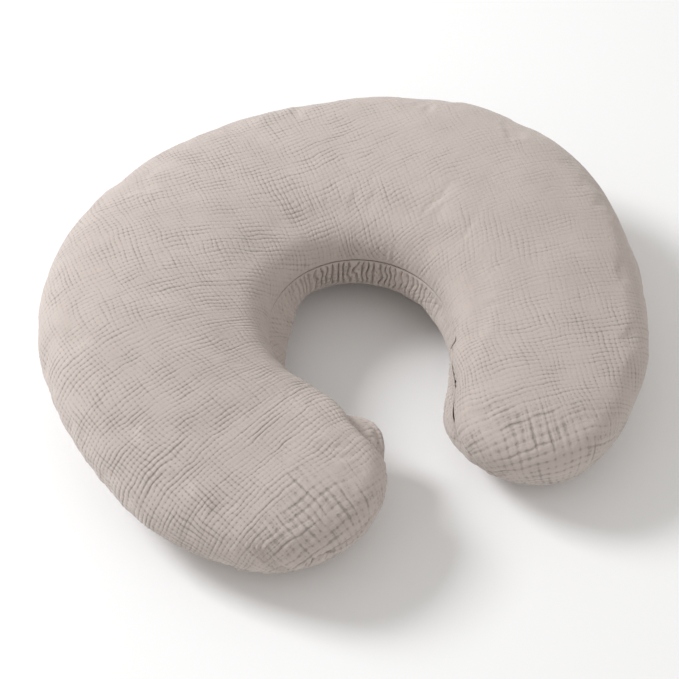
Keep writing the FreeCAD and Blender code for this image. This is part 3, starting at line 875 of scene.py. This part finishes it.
def groove(tree, source, size):
    """1 in the narrow valley between two rows of cells, 0 on top of a row."""
    row = math_node(tree, "COSINE", times(tree, source, TURN / size))
    valley = plus(tree, times(tree, row, -0.5), 0.5)
    return math_node(tree, "POWER", valley, 4.0)


def shader_waffle(tree, place, size, strengths):
    """The same grid of cells as waffle(), as depth: narrow valleys, pits where they
    cross."""
    ribs = groove(tree, place[1], size)
    cross = groove(tree, place[0], size)
    rows = plus(tree, times(tree, ribs, strengths[0]), times(tree, cross, strengths[1]))
    return plus(tree, rows, times(tree, ribs, cross))


def muslin():
    """Greige double gauze: puckered cells, with painted light on their tops and painted
    shade in their pits, over a fine weave.
    """
    made, tree, shader = material("muslin_greige", MUSLIN, 0.92)
    place, place_parts = split_vector(tree, "cloth_place")
    _, slack = split_vector(tree, "cloth_slack")
    _, strengths = split_vector(tree, "cloth_lines")
    small = shader_waffle(tree, place_parts, SMALL_CELL, strengths)
    small = times(tree, small, times(tree, slack[0], SMALL_SHADE))
    large = shader_waffle(tree, place_parts, LARGE_CELL, strengths)
    cells = plus(tree, small, times(tree, large, slack[1]))
    # Painted shade: the colour darkens down into the cells' pits and lightens a little on
    # their tops.
    painted_cell_shade = ramp(tree, cells, toned(MUSLIN, MUSLIN_PAINTED_SHADE))

    blotch = texture(tree, "Noise", place, Scale=0.03, Detail=4.0)
    stretch = node(tree, "ShaderNodeMapping", Scale=(0.12, 1.3, 1.0))
    tree.links.new(place, stretch.inputs["Vector"])
    slub = texture(tree, "Noise", stretch.outputs[0], Scale=1.0, Detail=3.0)
    colour = overlay(tree, overlay(tree, painted_cell_shade, blotch, 0.08), slub, 0.12)
    tree.links.new(colour, shader.inputs["Base Color"])

    weave = times(tree, woven(tree, place, MUSLIN_THREADS), 0.35)
    fuzz = texture(tree, "Noise", place, Scale=2.2, Detail=4.0)
    pits = times(tree, cells, 2.1)
    relief = math_node(tree, "SUBTRACT", plus(tree, weave, fuzz), pits)
    emboss(tree, shader, relief, 0.6, 0.0003)
    tune(shader, MUSLIN_SHEEN)
    return made


def patterned(name, colour, roughness, stops, kind, **values):
    """A material whose colour follows a texture laid out in the object's own
    coordinates, and that texture's value."""
    made, tree, shader = material(name, colour, roughness)
    place = node(tree, "ShaderNodeTexCoord").outputs["Object"]
    value = texture(tree, kind, place, **values)
    tree.links.new(ramp(tree, value, stops), shader.inputs["Base Color"])
    return made, tree, shader, value


def cloth(name, colour, threads, roughness=0.85, depth=0.0002):
    """Plain woven cloth whose threads follow the object's own coordinates."""
    stops = toned(colour, ((0.3, 0.88), (0.7, 1.06)))
    made, tree, shader, _ = patterned(
        name, colour, roughness, stops, "Noise", Scale=60.0, Detail=5.0
    )
    place = node(tree, "ShaderNodeTexCoord").outputs["Object"]
    emboss(tree, shader, woven(tree, place, threads), 0.6, depth)
    tune(shader, {"Sheen Weight": 0.3})
    return made


def fibre():
    """Loose white fibre: fine tangled strands."""
    stops = ((0.35, (0.66, 0.66, 0.64)), (0.6, (0.9, 0.9, 0.88)))
    strands = {"Scale": 90.0, "Detail": 8.0, "Distortion": 2.5}
    made, tree, shader, height = patterned(
        "polyester_fibre", (0.86, 0.86, 0.84), 0.95, stops, "Noise", **strands
    )
    emboss(tree, shader, height, 0.8, 0.002)
    tune(shader, {"Sheen Weight": 0.5})
    return made


def thread_material(name, colour):
    """Sewing thread, twisted from finer ones."""
    stops = toned(colour, ((0.2, 0.75), (0.8, 1.1)))
    twist = {"Scale": 900.0, "Distortion": 1.5, "bands_direction": "DIAGONAL"}
    made, tree, shader, height = patterned(name, colour, 0.6, stops, "Wave", **twist)
    emboss(tree, shader, height, 0.5, 0.0001)
    tune(shader, {"Sheen Weight": 0.3})
    return made


def zip_metal():
    """Nickel with fine scuffs that change its colour and its shine."""
    stops = ((0.3, (0.5, 0.48, 0.45)), (0.7, (0.68, 0.66, 0.63)))
    made, tree, shader, scuff = patterned(
        "zip_nickel", (0.62, 0.6, 0.57), 0.32, stops, "Noise", Scale=900.0, Detail=5.0
    )
    rough = node(tree, "ShaderNodeMapRange", **{"To Min": 0.22, "To Max": 0.5})
    tree.links.new(scuff, rough.inputs["Value"])
    tree.links.new(rough.outputs[0], shader.inputs["Roughness"])
    emboss(tree, shader, scuff, 0.25, 0.00005)
    tune(shader, {"Metallic": 1.0})
    return made


def coil_plastic():
    """Dyed nylon, a little shiny."""
    stops = ((0.3, (0.44, 0.38, 0.34)), (0.7, (0.55, 0.48, 0.43)))
    return patterned(
        "zip_coil_nylon", (0.5, 0.43, 0.39), 0.38, stops, "Noise", Scale=400.0, Detail=3.0
    )[0]


# ---------------- the pieces
HALVES = (("top", 1), ("bottom", -1))

# How far the layers lie inside the cover: on the outside and on the opening's side.
CASING_INSETS = (5.0, 9.0)
FILL_INSETS = (7.6, 11.6)
CASING_THICKNESS = 0.7
CASING_WAVE = 0.5
FILL_WAVE = 0.7

# Stitches: their pitch, length and the thread's radius.
COVER_STITCH = (3.4, 2.6, 0.2)
CASING_STITCH = (3.4, 2.6, 0.18)
CLOSING_STITCH = (6.0, 4.4, 0.2)
TAPE_STITCH = (3.0, 2.2, 0.2)
STITCH_DEPTH = 1.6
# The ladder of stitches at the back of the casing.
CLOSING_TURN = (18, 48)
CLOSING_STEPS = 80
CLOSING_INSET = 3.9
CLOSING_HALF_WIDTH = 1.4

# The zip behind the cover's edge.
TAPE_CELLS = (240, 10)
TAPE_RADIUS = OPENING_RADIUS + 2.15
TAPE_LOW, TAPE_TALL, TAPE_LEAN = 0.7, 11.074, 3.0
TAPE_THICKNESS = 0.3
TAPE_RIPPLE, TAPE_RIPPLES = 0.06, 190
TAPE_SEAM_RADIUS, TAPE_SEAM_HEIGHT = OPENING_RADIUS + 3.15, 7.0
TAPE_SEAM_HALF_ANGLE = 122.0
TAPE_SEAM_STEPS = 400
COIL_PITCH = 1.5
COIL_STEPS = 9
COIL_HALF_ANGLE = math.radians(120.0)
COIL_CENTRE_RADIUS = OPENING_RADIUS + 4.0
COIL_HEIGHT = 1.7
COIL_RADIUS = 0.72
WIRE_RADIUS = 0.26

LABEL_CELLS = (24, 10)
LABEL_LENGTH = 30.0
LABEL_TALL = 12.0
LABEL_THICKNESS = 0.3
LABEL_WAVE = 0.35
LABEL_LEAN = 0.12
LABELS = (("care_label", 62), ("casing_label", -62))


def finish_piece(piece, slot, made, *nodes):
    """Gives a piece its material, its place on the pillow and the nodes it replaces."""
    piece.data.materials.clear()
    piece.data.materials.append(made)
    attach(piece, "pillow")
    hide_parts(*nodes)


def inner_half(name, way, insets, wave, rng):
    """A casing panel, or one half of the fill: a softer copy of the shape inside."""
    depth = insets[0]
    outline = refined_outline(INNER_REFINE, *insets)
    rows = SIDE_CELLS * INNER_REFINE
    grid, from_seam, from_crown = half_surface(outline, way, rows, depth)
    push = stuffing_push(outline, from_seam, way)
    push = np.minimum(push, 0) + 0.5 * np.maximum(push, 0)
    push = push - np.maximum(seam_gaps(outline, from_seam, way), 0)
    place = fabric_place(outline, from_crown, way)
    ripple = Waves(rng, 24, 0.4, count=20)(place) * wave
    ripple = ripple * ease(from_seam, 0, 10) - wave * 1.6
    piece = new_mesh(
        name, merge(to_world(grid), outline), half_faces(outline, rows, way)
    )
    mesh = piece.data
    slide = push[..., None] * outward(outline)[:, None, :]
    final = read_points(mesh) + merge(slide, outline)
    final = final + read_normals(mesh) * merge(ripple, outline)[:, None]
    settle(final, REST_HEIGHT + depth)
    write_points(mesh, final)
    return piece


def weld(name, pieces):
    """Joins meshes into one and merges the points they share."""
    joined = bmesh.new()
    for piece in pieces:
        joined.from_mesh(piece.data)
    bmesh.ops.remove_doubles(joined, verts=joined.verts, dist=0.0004)
    bmesh.ops.recalc_face_normals(joined, faces=joined.faces)
    mesh = bpy.data.meshes.new(name)
    joined.to_mesh(mesh)
    joined.free()
    for piece in pieces:
        discard(piece)
    return smooth_object(name, mesh)


def tube(path, radius, sides=6):
    """Points and faces of a tube along a path of points, closed at both ends."""
    path = np.asarray(path, float)
    ahead = np.gradient(path, axis=0)
    ahead /= np.linalg.norm(ahead, axis=1, keepdims=True)
    guide = np.where(np.abs(ahead[:, 2:3]) > 0.9, [[1.0, 0, 0]], [[0, 0, 1.0]])
    first = np.cross(ahead, guide)
    first /= np.linalg.norm(first, axis=1, keepdims=True)
    second = np.cross(ahead, first)
    angle = np.arange(sides) * TURN / sides
    ring = (
        first[:, None] * np.cos(angle)[None, :, None]
        + second[:, None] * np.sin(angle)[None, :, None]
    )
    size = np.broadcast_to(np.asarray(radius, float), (len(path),))
    points = (path[:, None] + ring * size[:, None, None]).reshape(-1, 3)
    faces = []
    for i in range(len(path) - 1):
        here, there = i * sides, (i + 1) * sides
        for j in range(sides):
            k = (j + 1) % sides
            faces.append((here + j, here + k, there + k, there + j))
    faces.append(tuple(range(sides - 1, -1, -1)))
    faces.append(tuple(range((len(path) - 1) * sides, len(path) * sides)))
    return points, faces


def stitches(name, path, pitch, length, radius):
    """Short threads laid along a path in the seam frame, each dipping at its ends."""
    step = np.linalg.norm(np.diff(path, axis=0), axis=1)
    run = np.concatenate(([0.0], np.cumsum(step)))
    points, faces, used = [], [], 0
    profile = np.linspace(-0.5, 0.5, 7)
    for middle in np.arange(pitch, run[-1] - pitch, pitch):
        at = middle + profile * length
        line = np.stack([np.interp(at, run, path[:, k]) for k in range(3)], axis=-1)
        size = radius * np.sqrt(np.clip(1.02 - (2 * profile) ** 2, 0.05, 1))
        corners, sides = tube(to_world(line), size)
        points.append(corners)
        faces += [tuple(i + used for i in face) for face in sides]
        used += len(corners)
    return new_mesh(name, np.concatenate(points), faces)


def on_arc(radius, height, turn):
    """Points at angles round the opening, in the seam frame."""
    height = np.broadcast_to(height, np.shape(radius * turn))
    return np.stack((radius * np.sin(turn), radius * np.cos(turn), height), axis=-1)


def sheet(name, points, thickness, flip=False):
    """A thin cloth from a grid of points."""
    long, wide = points.shape[:2]
    index = np.arange(long * wide).reshape(long, wide)
    corners = (index[:-1, :-1], index[1:, :-1], index[1:, 1:], index[:-1, 1:])
    quads = np.stack(corners, axis=-1).reshape(-1, 4)
    if flip:
        quads = quads[:, ::-1]
    piece = new_mesh(name, points.reshape(-1, 3), quads.tolist())
    thicken(piece, thickness)
    return piece


def zip_tape(name, way):
    """A woven strip behind the cover's edge, leaning outwards away from the coil."""
    along, across = TAPE_CELLS
    half = math.radians(ZIP_HALF_ANGLE)
    turn = np.linspace(-half, half, along)[:, None]
    share = np.linspace(0, 1, across)[None, :]
    ripple = TAPE_RIPPLE * np.sin(turn * TAPE_RIPPLES) * share
    radius = TAPE_RADIUS + TAPE_LEAN * share + ripple
    points = on_arc(radius, way * (TAPE_LOW + TAPE_TALL * share), turn)
    return sheet(name, to_world(points), TAPE_THICKNESS, flip=way < 0)


def zip_coil(name, way):
    """The coil of a zip: a helix of nylon wire beside the slit."""
    turns = int(2 * COIL_HALF_ANGLE * COIL_CENTRE_RADIUS / COIL_PITCH)
    t = np.linspace(0, 1, turns * COIL_STEPS + 1)
    turn = COIL_HALF_ANGLE * (2 * t - 1)
    spin = t * turns * TURN
    radius = COIL_CENTRE_RADIUS + COIL_RADIUS * np.cos(spin)
    path = on_arc(radius, way * COIL_HEIGHT + COIL_RADIUS * np.sin(spin), turn)
    points, faces = tube(to_world(path), WIRE_RADIUS, sides=5)
    return new_mesh(name, points, faces)


def label(name, node_name, angle):
    """A satin label, gently waved, standing where the CAD's label stands."""
    low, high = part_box(node_name)
    middle = np.array((low + high) / 2) / MM
    turn = math.radians(angle)
    along = np.array((math.cos(turn), -math.sin(turn), 0.0))
    out = np.array((math.sin(turn), math.cos(turn), 0.0))
    up = np.array((0.0, 0.0, 1.0))
    wide, tall = LABEL_CELLS
    u = np.linspace(-LABEL_LENGTH / 2, LABEL_LENGTH / 2, wide)[:, None, None]
    v = np.linspace(-LABEL_TALL / 2, LABEL_TALL / 2, tall)[None, :, None]
    wave = LABEL_WAVE * np.sin(u / 4.0) * (0.5 - v / LABEL_TALL)
    points = middle + u * along + v * up + (wave - LABEL_LEAN * v) * out
    return sheet(name, points, LABEL_THICKNESS)


def seam_line(outline, inset):
    """The cover's outer seam, a little inside it, in the seam frame."""
    side = ROUNDNESS * blend_sizes(outline.turn, DROPS)
    angle = seam_drop(outline) / side
    across = outline.half - side + (side - inset) * np.cos(angle)
    across = across + swell_of(outline, WHOLE_SWELLS + SEAM_SWELLS)[:, 0]
    plan = outline.centre + outline.out * across[:, None]
    height = -(side - inset) * np.sin(angle)
    return np.concatenate((plan, height[:, None]), axis=1)


def build_cover(rng):
    fabric = muslin()
    for name, way in HALVES:
        made = shape_panel("cover_" + name, way, rng)
        finish_piece(made, "muslin", fabric, f"cover_{name}_panel")


def build_inside(rng):
    """The casing's two panels, and the fill in one piece."""
    calico = cloth("casing_calico", (0.83, 0.8, 0.74), 900.0)
    for name, way in HALVES:
        made = inner_half("casing_" + name, way, CASING_INSETS, CASING_WAVE, rng)
        thicken(made, CASING_THICKNESS)
        finish_piece(made, "casing_cotton", calico, f"casing_{name}_panel")
    halves = []
    for _, way in HALVES:
        halves.append(inner_half("fill_half", way, FILL_INSETS, FILL_WAVE, rng))
    finish_piece(weld("fill", halves), "fibre", fibre(), "fibre_fill")


def sew_cover(sewing):
    """The seam's stitches, everywhere but along the zip."""
    outline = refined_outline(INNER_REFINE)
    outside = outline.zip < 0.5
    first = int(np.argmax(~outside & np.roll(outside, 1)))
    order = np.roll(np.arange(len(outside)), -first)
    order = order[outside[order]]
    path = seam_line(outline, SEAM_TUCK + STITCH_DEPTH)[order]
    made = stitches("cover_seam_thread", path, *COVER_STITCH)
    finish_piece(made, "cover_thread", sewing, "cover_seam_stitches")


def sew_casing():
    """The casing's seam, and the ladder that closes the gap it was filled through."""
    sewing = thread_material("casing_sewing_thread", (0.86, 0.84, 0.79))
    inside = refined_outline(INNER_REFINE, *CASING_INSETS)
    edge = np.pad(inside.edge, ((0, 0), (0, 1)))
    made = stitches("casing_seam_thread", edge, *CASING_STITCH)
    finish_piece(made, "casing_thread", sewing, "casing_seam_stitches")
    turn = np.linspace(*CLOSING_TURN, CLOSING_STEPS)
    far = OPENING_RADIUS + blend_sizes(turn, WIDTHS) - CLOSING_INSET
    side = np.sign(np.sin(np.linspace(0, CLOSING_STEPS, CLOSING_STEPS)))
    path = on_arc(far, CLOSING_HALF_WIDTH * side, np.radians(turn))
    made = stitches("casing_closing_thread", path, *CLOSING_STITCH)
    finish_piece(made, "casing_thread", sewing, "casing_closing_stitches")


def build_zip(sewing):
    """Tapes, coils and the tapes' stitches; the CAD's metal parts get their nickel."""
    twill = cloth("zip_tape_twill", (0.5, 0.43, 0.385), 1600.0, 0.8, 0.0001)
    nylon = coil_plastic()
    half = math.radians(TAPE_SEAM_HALF_ANGLE)
    turn = np.linspace(-half, half, TAPE_SEAM_STEPS)
    for name, way in (("upper", 1), ("lower", -1)):
        made = zip_tape(f"zip_tape_{name}_woven", way)
        finish_piece(made, "zip_tape", twill, "zip_tape_" + name)
        made = zip_coil(f"zip_coil_{name}_helix", way)
        finish_piece(made, "zip_coil", nylon, "zip_coil_" + name)
        path = on_arc(TAPE_SEAM_RADIUS, way * TAPE_SEAM_HEIGHT, turn)
        made = stitches("zip_tape_thread_" + name, path, *TAPE_STITCH)
        finish_piece(made, "cover_thread", sewing, "zip_tape_stitches_" + name)
    metal = zip_metal()
    for name in ("zip_slider_body", "zip_pull_tab", "zip_top_stops", "zip_bottom_stop"):
        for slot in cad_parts[name].material_slots:
            slot.material = metal


def build_labels():
    satin = cloth("label_satin", (0.82, 0.81, 0.78), 2400.0, 0.45, 0.00005)
    for name, angle in LABELS:
        finish_piece(label(name + "_cloth", name, angle), "label", satin, name)


# ---------------- the studio
FLOOR_HALF = 6.0
SKY = (1.0, 0.977, 0.948, 1)
SKY_STRENGTH = 0.58
LAMP_AIM = Vector((0, 0, 0.05))
# Square lamps: name, place, width, power and colour.
LAMPS = (
    ("key", (-1.7, 1.7, 1.95), 1.0, 76.0, (0.95, 0.972, 1.0)),
    ("fill", (0.6, -1.8, 1.9), 2.0, 5.0, (1.0, 1.0, 1.0)),
)
VIEW_AZIMUTH = math.radians(-22.67)
VIEW_ELEVATION = math.radians(49.52)
VIEW_DISTANCE = 2.09
VIEW_AIM = Vector((-0.0161, -0.0238, 0.057))
LENS_LENGTH = 120.9
SENSOR_WIDTH = 36.0


def floor_and_lights():
    signs = ((-1, -1), (1, -1), (1, 1), (-1, 1))
    corners = [(FLOOR_HALF * x, FLOOR_HALF * y, 0) for x, y in signs]
    mesh = bpy.data.meshes.new("floor")
    mesh.from_pydata(corners, [], [(0, 1, 2, 3)])
    made, _, shader = material("pale_floor", (0.93, 0.93, 0.93), 0.8)
    tune(shader, {"Specular IOR Level": 0.1})
    mesh.materials.append(made)
    add_object("floor", mesh)

    world = bpy.data.worlds.new("studio")
    bpy.context.scene.world = world
    world.use_nodes = True
    back = world.node_tree.nodes["Background"]
    back.inputs[0].default_value = SKY
    back.inputs[1].default_value = SKY_STRENGTH
    for name, where, width, power, colour in LAMPS:
        lamp = bpy.data.lights.new(name, "AREA")
        lamp.size = width
        lamp.energy = power
        lamp.color = colour
        item = add_object(name, lamp)
        item.location = where
        aim = (LAMP_AIM - item.location).to_track_quat("-Z", "Y")
        item.rotation_euler = aim.to_euler()


def camera():
    level = math.cos(VIEW_ELEVATION)
    x = math.sin(VIEW_AZIMUTH) * level
    y = -math.cos(VIEW_AZIMUTH) * level
    back = Vector((x, y, math.sin(VIEW_ELEVATION)))
    lens = bpy.data.cameras.new("camera")
    lens.sensor_width = SENSOR_WIDTH
    lens.lens = LENS_LENGTH
    item = add_object("camera", lens)
    item.location = VIEW_AIM + back * VIEW_DISTANCE
    item.rotation_euler = back.to_track_quat("Z", "Y").to_euler()
    bpy.context.scene.camera = item


rng = np.random.default_rng(SEED)
build_cover(rng)
build_inside(rng)
cover_sewing = thread_material("cover_sewing_thread", (0.56, 0.49, 0.44))
sew_cover(cover_sewing)
sew_casing()
build_zip(cover_sewing)
build_labels()
floor_and_lights()
camera()
bpy.context.scene.view_settings.view_transform = "Standard"

bpy.context.view_layer.update()
